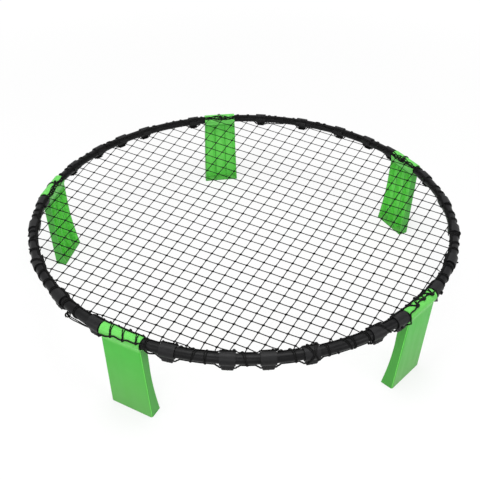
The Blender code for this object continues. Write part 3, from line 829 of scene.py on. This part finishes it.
def leg_mesh():
    half = SLEEVE_LENGTH / 2
    stop = SLEEVE_STOP / 2
    mesh = join_by_boolean(
        "leg_fine",
        leg_shell_mesh(),
        [
            (cylinder_along_y("leg_sleeve", SLEEVE_RADIUS, -half, half), "UNION"),
            (leg_bays_mesh(), "DIFFERENCE"),
            (leg_setback_mesh(), "DIFFERENCE"),
            (cylinder_along_y("leg_bore_low", BORE_RADIUS, -half - CUT_PAST, -stop), "DIFFERENCE"),
            (cylinder_along_y("leg_bore_high", BORE_RADIUS, stop, half + CUT_PAST), "DIFFERENCE"),
        ],
    )
    # Each face gets the number of its painted light or painted shade
    painted_shading = mesh.attributes.new("painted_shading", "FLOAT", "FACE")
    for face in mesh.polygons:
        x, y, z = face.center
        painted_shading.data[face.index].value = leg_painted_shading(x, y, -z, face.normal)
    return mesh


# Hooks, in their own frame: x outward, y along the tube


def arc_points(centre, radius, start, end, steps):
    ways = [direction(start + (end - start) * step / steps) for step in range(steps + 1)]
    return [(centre[0] + radius * out, centre[1] + radius * up) for up, out in ways]


def lug_rib_mesh(order, outer_side, top, height):
    """One of the ribs that fan out down the lug's outer side."""
    down, aside = direction(LUG_RIB_FAN * (order / (LUG_RIBS - 1) - 0.5))
    spread, drop = LUG_RIB_REACH
    low = Vector((outer_side, LUG_LENGTH / 2 * aside * spread, top - height * down * drop))
    high = Vector((outer_side, low.y * LUG_RIB_TOP, top))
    rib = Strands()
    radii = [LUG_RIB_RADIUS * share for share in LUG_RIB_SHARES]
    rib.bar([high, low, low + (low - high) * LUG_RIB_TIP], radii, LUG_RIB_SIDES)
    return rib.mesh(f"lug_rib_{order}")


def hook_mesh():
    """A band, open low on its inner side, with a tapering lug below that cradles the cord."""
    end, start = HOOK_MOUTH[0], HOOK_MOUTH[1] - 360
    steps = round(HOOK_SIDES * (end - start) / 360)
    outside = arc_points((0, 0), HOOK_RADIUS, start, end, steps)
    bore = arc_points((0, 0), HOOK_BORE, end, start, steps)
    band = outline_solid("hook_band", outside + bore, HOOK_LENGTH)

    up, out = direction(CORD_LUG_TURN)
    seat = (CORD_LUG_DISTANCE * out, CORD_LUG_DISTANCE * up)
    inner = CORD_RADIUS + CORD_GAP
    outer = inner + LUG_WALL
    outline = arc_points(seat, outer, 90, LUG_LIP, LUG_STEPS)
    outline += arc_points(seat, inner, LUG_LIP, 90, LUG_STEPS)
    band_middle = (HOOK_BORE + HOOK_RADIUS) / 2
    for x in (seat[0] + inner, seat[0] + outer):
        outline.append((x, -math.sqrt(band_middle**2 - x**2)))
    lug = outline_solid("hook_lug", outline, LUG_LENGTH)
    top = outline[-1][1]
    height = top - (seat[1] - outer)
    for vertex in lug.vertices:
        share = (top - vertex.co.z) / height
        vertex.co.y *= math.sqrt(1 - (1 - LUG_TAPER**2) * share**2)
    side = seat[0] + outer - LUG_RIB_RADIUS / 2
    ribs = [(lug_rib_mesh(order, side, top, height), "UNION") for order in range(LUG_RIBS)]
    return join_by_boolean("hook_fine", band, [(lug, "UNION"), *ribs])


# What lies on the rim


def surface(degrees, turn):
    """How far from the tubes' centre line the outermost surface is, in this direction."""
    off = math.radians(from_leg(degrees))
    if abs(off) <= math.radians(SLEEVE_HALF_ANGLE):
        shift = AXIS_RADIUS / math.cos(off) - RING_RADIUS
        up, out = direction(turn)
        return shift * out + math.sqrt(SLEEVE_RADIUS**2 - (shift * up) ** 2)
    if to_hook(degrees) <= HOOK_HALF_ANGLE:
        return HOOK_RADIUS
    return TUBE_RADIUS


def laid(degrees, turn, radius, ease=STRAND_EASE):
    """The distance at which a strand lies on the surface, eased over the steps in it."""
    samples = [degrees + ease * share / 3 for share in range(-3, 4)]
    highs = [max(surface(sample + side * ease / 2, turn) for side in (-1, 0, 1)) for sample in samples]
    return max(sum(highs) / len(highs), surface(degrees, turn)) + radius + TOUCH


# Net


def drawn(x, y):
    away = direction(NET_DRAW_ANGLE)
    share = 1 - NET_DRAW * (x * away[0] + y * away[1])
    return x / share, y / share


def net_knots():
    """The knots by column and row, each a little off its even place."""
    steps = [Vector(direction(angle)) * pitch for angle, pitch in zip(NET_ANGLES, NET_PITCHES)]
    knots = {}
    for column in range(-NET_REACH, NET_REACH + 1):
        for row in range(-NET_REACH, NET_REACH + 1):
            x, y = drawn(*(Vector(NET_KNOT) + steps[0] * column + steps[1] * row))
            off = Vector((either_way(1), either_way(1), 0)) * NET_JITTER
            knots[column, row] = Vector((x, y, NET_LEVEL)) + off
    return knots


def in_net(knot):
    return knot.to_2d().length < NET_EDGE - KNOT_RADIUS


def end_on_border(inside, outside):
    """Where the line between two knots meets the net's border."""
    low, high = 0.0, 1.0
    for _ in range(NET_CUT_HALVINGS):
        middle = (low + high) / 2
        if inside.lerp(outside, middle).to_2d().length < NET_EDGE:
            low = middle
        else:
            high = middle
    place = inside.lerp(outside, low)
    degrees = math.degrees(math.atan2(place.y, place.x))
    return rim_point(degrees, BORDER_TURN, laid(degrees, BORDER_TURN, BORDER_RADIUS))


def add_net_strand(strands, line):
    """The strand through the knots of one line, from border to border."""
    inside = [i for i, knot in enumerate(line) if in_net(knot)]
    if not inside:
        return
    first, last = inside[0], inside[-1]
    start = end_on_border(line[first], line[first - 1])
    end = end_on_border(line[last], line[last + 1])
    stops = [start, *line[first : last + 1], end]
    route = []
    for a, b in zip(stops, stops[1:]):
        bow = Vector((either_way(1), either_way(1), -NET_SAG)) * NET_BOW
        route += [a, *(a.lerp(b, place) + bow for place in NET_BOW_PLACES)]
    strands.bar([*route, end], NET_STRAND, NET_SIDES, start_along=rng.uniform(0, TWIST_LIMIT))


def border_routes():
    """Strands that wander along the rim beside and over each other."""
    routes = []
    for strand in range(BORDER_STRANDS):
        phase = 2 * math.pi * strand / BORDER_STRANDS
        (long_waves, lift_phase), (short_waves, short_phase) = [
            (rng.randrange(*waves), rng.uniform(0, PHASE_LIMIT)) for waves in BORDER_WAVES
        ]
        route = []
        for step in range(round(360 / BORDER_STEP)):
            degrees = BORDER_STEP * step
            angle = math.radians(degrees)
            waves = (math.sin(angle * long_waves + phase), math.sin(angle * short_waves + short_phase))
            swing = BORDER_SHARES[0] * waves[0] + BORDER_SHARES[1] * waves[1]
            lift = 0.5 + 0.5 * math.cos(angle * long_waves + phase + lift_phase)
            inside = SLEEVE_HALF_ANGLE - abs(from_leg(degrees))
            on_sleeve = held((inside + BORDER_EASE / 2) / BORDER_EASE)
            spread = BORDER_SPREAD + (BORDER_SLEEVE_SPREAD - BORDER_SPREAD) * on_sleeve
            turn = BORDER_TURN + spread * swing - BORDER_SLEEVE_DROP * on_sleeve
            sunk = BORDER_SINK * BORDER_RADIUS * (lift - 1)
            route.append(rim_point(degrees, turn, laid(degrees, turn, BORDER_RADIUS) + sunk))
        routes.append(route)
    return routes


def add_border_lump(strands, step):
    degrees = BORDER_LUMP_PITCH * (step + either_way(BORDER_LUMP_JITTER))
    turn = BORDER_TURN + rng.uniform(*BORDER_LUMP_PLACES) * BORDER_SPREAD
    radius = KNOT_RADIUS * rng.uniform(*BORDER_LUMP_SIZES)
    centre = rim_point(degrees, turn, laid(degrees, turn, BORDER_RADIUS))
    way = rim_point(degrees + LUMP_AHEAD, turn + either_way(LUMP_TILT), TUBE_RADIUS) - centre
    strands.lump(centre, way, BORDER_LUMP_LENGTH * radius, radius)


def net_mesh():
    strands = Strands()
    knots = net_knots()
    reach = range(-NET_REACH, NET_REACH + 1)
    for fixed in reach:
        add_net_strand(strands, [knots[step, fixed] for step in reach])
    for fixed in reach:
        add_net_strand(strands, [knots[fixed, step] for step in reach])
    for (column, row), knot in knots.items():
        if in_net(knot):
            along = (knots[column + 1, row] - knot).normalized()
            across = (knots[column, row + 1] - knot).normalized()
            strands.lump(knot, along + across * rng.uniform(*KNOT_LEANS), KNOT_HALF_LENGTH, KNOT_RADIUS)
    for route in border_routes():
        strands.bar(route, BORDER_RADIUS, NET_SIDES, closed=True)
    for step in range(round(360 / BORDER_LUMP_PITCH)):
        add_border_lump(strands, step)
    return strands.mesh("net_fine")


# Edge cord


def cord_on(degrees, turn):
    return surface(degrees, turn) + CORD_RADIUS + TOUCH


def cord_stations():
    """(angle, turn, distance) along the ring."""
    lug_half = along_ring(LUG_LENGTH / 2)
    sleeve_end = SLEEVE_HALF_ANGLE + along_ring(CORD_RADIUS)
    leaving = HOOK_HALF_ANGLE + along_ring(CORD_LEAVE)
    risen = HOOK_HALF_ANGLE + along_ring(CORD_RISE)
    on_tube = TUBE_RADIUS + CORD_RADIUS + TOUCH
    halfway = ((CORD_LUG_TURN + CORD_REST_TURN) / 2, (CORD_LUG_DISTANCE + on_tube) / 2)
    stations = []
    for section in range(LEG_COUNT):
        start = leg_degrees(section)
        for side, turn in zip((-1, 0, 1), CORD_SLEEVE_TURNS[section]):
            distance = cord_on(start + side * (SLEEVE_HALF_ANGLE - CORD_SLEEVE_INSET), turn)
            stations.append((start + side * sleeve_end, turn, distance))
        angles = section_hooks(section)
        ends = [start + sleeve_end, *angles, start + SECTION_ANGLE - sleeve_end]
        for order, angle in enumerate(angles, start=1):
            stations += [(angle + side * lug_half, CORD_LUG_TURN, CORD_LUG_DISTANCE) for side in (-1, 1)]
            for side, neighbour in ((-1, ends[order - 1]), (1, ends[order + 1])):
                room = abs(neighbour - angle) / (2 if neighbour in angles else 1)
                if room > risen:
                    stations.append((angle + side * leaving, *halfway))
                    stations.append((angle + side * risen, CORD_REST_TURN, on_tube))
    return sorted(stations)


STATIONS = cord_stations()


def cord_place(degrees):
    """The cord's (turn, distance) at this angle."""
    first = STATIONS[0]
    degrees = first[0] + (degrees - first[0]) % 360
    closed = STATIONS + [(first[0] + 360, *first[1:])]
    low, high = next(pair for pair in zip(closed, closed[1:]) if degrees <= pair[1][0])
    share = (degrees - low[0]) / (high[0] - low[0])
    eased = share * share * (3 - 2 * share)
    turn, distance = [low[item] + (high[item] - low[item]) * eased for item in (1, 2)]
    wobble = CORD_WOBBLE * held((to_hook(degrees) - CORD_CALM_ANGLE) / CORD_CALM_EASE)
    waves = [math.radians(degrees * count) for count in CORD_WAVES]
    turn += wobble * math.sin(waves[0]) * math.cos(waves[1])
    off = from_leg(degrees)
    if abs(off) < SLEEVE_HALF_ANGLE:
        turn += 2 * CORD_WOBBLE * math.sin(math.radians(off * CORD_SLEEVE_WAVES + CORD_SLEEVE_PHASE))
        distance = cord_on(degrees, turn)
    return turn, distance


def loop_places():
    """(start angle, knot angle) of each loop along the ring."""
    room = HOOK_HALF_ANGLE + along_ring(LOOP_HOOK_GAP * LOOP_STRAND)
    places = list(STRAY_LOOPS)
    for section, offsets in enumerate(SLEEVE_LOOPS):
        middle = leg_degrees(section)
        places += [(middle + first, middle + last) for first, last in offsets]
        start = middle + SLEEVE_HALF_ANGLE + LOOP_SLEEVE_GAP
        span = SECTION_ANGLE - 2 * SLEEVE_HALF_ANGLE - 2 * LOOP_SLEEVE_GAP
        count = round(span / LOOP_PITCH)
        for step in range(count + 1):
            angle = start + span * step / count + either_way(1) * LOOP_JITTER * (0 < step < count)
            knot = angle + either_way(1) * LOOP_SLANT
            if min(to_hook(angle), to_hook(knot)) > room:
                places.append((angle, knot))
    return sorted(places)


def add_loop(strands, angle, knot_angle):
    """Two strands from the net's border over the rim to the cord, knotted there."""
    last_turn, last_distance = cord_place(knot_angle)
    at_sleeve = abs(from_leg(angle)) < SLEEVE_HALF_ANGLE + LOOP_SLEEVE_REACH
    first_turn = LOOP_SLEEVE_TURN if at_sleeve else BORDER_TURN
    for side in (-1, 1):
        loop = []
        for step in range(LOOP_STEPS + 1):
            share = step / LOOP_STEPS
            turn = first_turn + (last_turn - first_turn) * share
            spread = LOOP_SPREAD * (1 - share) ** 2 + LOOP_STRAND * LOOP_CLOSED
            degrees = angle + (knot_angle - angle) * share + along_ring(side * spread)
            distance = laid(degrees, turn, LOOP_STRAND, LOOP_EASE)
            risen = share - (1 - LOOP_RISE)
            if risen > 0:
                distance += (last_distance + CORD_RADIUS - distance) * risen / LOOP_RISE
            loop.append(rim_point(degrees, turn, distance))
        strands.bar(loop, LOOP_STRAND, NET_SIDES, start_along=rng.uniform(0, TWIST_LIMIT))
    knot = rim_point(knot_angle, last_turn + LOOP_KNOT_TURN, last_distance + LOOP_KNOT_RISE)
    way = rim_point(knot_angle + LOOP_KNOT_AHEAD, last_turn + LUMP_TILT, last_distance) - knot
    big = abs(knot_angle - leg_degrees(BIG_KNOT_LEG)) < SLEEVE_HALF_ANGLE
    size = LOOP_KNOT_RADIUS * (BIG_KNOT_SHARE if big else 1)
    strands.lump(knot, way, size * rng.uniform(*LOOP_KNOT_LENGTHS), size * rng.uniform(*LOOP_KNOT_WIDTHS))


def add_tangle(strands, degrees, turn, radius):
    """Some lumps over and beside each other."""
    for _ in range(TANGLE_LUMPS):
        place = degrees + along_ring(either_way(TANGLE_SPREAD) * radius)
        spun = turn + either_way(LUMP_TILT)
        centre = rim_point(place, spun, surface(place, spun) + TANGLE_RISE * radius)
        beyond = place + either_way(TANGLE_SLANT)
        way = rim_point(beyond, spun + either_way(LUMP_TILT), TANGLE_AIM) - centre
        half_length = radius * rng.uniform(*TANGLE_LENGTHS)
        strands.lump(centre, way, half_length, radius * rng.uniform(*TANGLE_WIDTHS))


def add_slack_strand(strands, start, end, turn, reach):
    """A strand that hangs away from the tube, farthest near its start."""
    route = []
    for step in range(SLACK_STEPS + 1):
        share = step / SLACK_STEPS
        hang = reach * math.sin(math.pi * share**0.5) + SLACK_RIPPLE * math.sin(SLACK_RIPPLE_PHASE * share)
        route.append(rim_point(start + (end - start) * share, turn, TUBE_RADIUS + SLACK_RADIUS + hang))
    strands.bar(route, SLACK_RADIUS, NET_SIDES)


def add_curl(strands):
    centre = rim_point(CURL_ANGLE, CURL_TURN, TUBE_RADIUS + CURL_RADIUS + CURL_GAP)
    facing = Vector(CURL_FACING).normalized()
    along = facing.orthogonal().normalized()
    down = along.cross(facing)
    route = []
    for step in range(CURL_STEPS + 1):
        x, y = direction(step * CURL_STEP_ANGLE)
        radius = CURL_RADIUS * (1 - CURL_SHRINK * step / CURL_STEPS)
        off = (along * x + down * y) * radius
        route.append(centre + off + facing * (step * CURL_LEAD))
    strands.bar(route, SLACK_RADIUS, NET_SIDES)


def edge_cord_mesh():
    strands = Strands()
    places = [360 * step / CORD_STEPS for step in range(CORD_STEPS)]
    route = [rim_point(degrees, *cord_place(degrees)) for degrees in places]
    strands.bar(route, CORD_RADIUS, CORD_SIDES, closed=True)
    for angle, knot_angle in loop_places():
        add_loop(strands, angle, knot_angle)
    for tangle in TANGLES:
        add_tangle(strands, *tangle)
    for slack in SLACK_STRANDS:
        add_slack_strand(strands, *slack)
    add_curl(strands)
    return strands.mesh("edge_cord_fine")


# The pieces

leg_shape = leg_mesh()
hook_shape = hook_mesh()
for index in range(LEG_COUNT):
    node = f"leg_{index + 1}"
    x, y = direction(leg_degrees(index))
    place = (AXIS_RADIUS * x, AXIS_RADIUS * y, RIM_HEIGHT)
    mesh = placed_copy(leg_shape, place, leg_degrees(index))
    round_edges(add_piece(node, mesh, green, node + "_body"), LEG_EDGE)
    add_piece(f"rim_tube_{index + 1}", tube_mesh(index), black_tube, "ring")
for node, degrees in HOOKS:
    mesh = placed_copy(hook_shape, rim_point(degrees, 0, 0), degrees)
    round_edges(add_piece(node, mesh, black_hook, "ring"), HOOK_EDGE)
add_piece("net", net_mesh(), net_twine, "ring")
add_piece("edge_cord", edge_cord_mesh(), edge_twine, "ring")

# Floor and light

WHITE = (1, 1, 1, 1)
WORLD_STRENGTH = 0.36
FLOOR_COLOUR = (0.86, 0.86, 0.86, 1)
FLOOR_ROUGHNESS = 0.9
FLOOR_HALF = 6
FLOOR_LEVEL = -0.0006
FLOOR_GLOW_SHARE = 0.78
FLOOR_GLOW = (1.00, 1.22, 0.6, 3.0)  # from and to this strength, over these distances
LAMP_SIZE = 1.2
LAMP_AIM = Vector((0, 0, 0.1))
LAMPS = (  # (name, place, watts)
    ("front", (-0.3, -2.6, 1.5), 20),
    ("left", (-2.3, -1.8, 1.3), 24),
    ("right", (2.4, -1.7, 1.2), 26),
    ("overhead", (0.0, -0.1, 1.7), 26),
)


def set_world():
    """Soft light from all round, which shows as plain white."""
    world = bpy.data.worlds.new("studio")
    bpy.context.scene.world = world
    nodes = Nodes(world)
    lit = nodes.set(nodes.tree.nodes["Background"], {"Color": WHITE, "Strength": WORLD_STRENGTH})
    white = nodes.add("ShaderNodeBackground", {"Color": WHITE, "Strength": 1.0})
    shown = nodes.blend(nodes.shown_directly(), lit.outputs[0], white.outputs[0])
    nodes.set(nodes.tree.nodes["World Output"], {"Surface": shown})


def floor_look():
    """A pale matt floor, which keeps its shadows and shows nearly white."""
    material = bpy.data.materials.new("floor")
    nodes = Nodes(material)
    looks = {"Base Color": FLOOR_COLOUR, "Roughness": FLOOR_ROUGHNESS, "Specular IOR Level": 0.0}
    matt = nodes.set(nodes.tree.nodes["Principled BSDF"], looks).outputs[0]
    where = nodes.add("ShaderNodeTexCoord").outputs["Object"]
    away = nodes.add("ShaderNodeVectorMath", {0: where}, operation="LENGTH").outputs["Value"]
    glow = nodes.add("ShaderNodeEmission", {"Strength": nodes.between(away, *FLOOR_GLOW)}).outputs[0]
    shown = nodes.blend(nodes.shown_directly(), matt, nodes.blend(FLOOR_GLOW_SHARE, matt, glow))
    nodes.set(nodes.tree.nodes["Material Output"], {"Surface": shown})
    return material


def add_lamp(name, place, power):
    data = bpy.data.lights.new(name, "AREA")
    data.shape = "SQUARE"
    data.size = LAMP_SIZE
    data.energy = power
    lamp = add_object(name, data)
    lamp.location = place
    lamp.rotation_euler = (LAMP_AIM - Vector(place)).to_track_quat("-Z", "Y").to_euler()


set_world()
corners = [(x * FLOOR_HALF, y * FLOOR_HALF, FLOOR_LEVEL) for x, y in ((-1, -1), (1, -1), (1, 1), (-1, 1))]
floor_mesh = bpy.data.meshes.new("floor")
floor_mesh.from_pydata(corners, [], [(0, 1, 2, 3)])
floor_mesh.materials.append(floor_look())
floor = add_object("floor", floor_mesh)
for lamp in LAMPS:
    add_lamp(*lamp)
bpy.context.scene.view_settings.view_transform = "Standard"
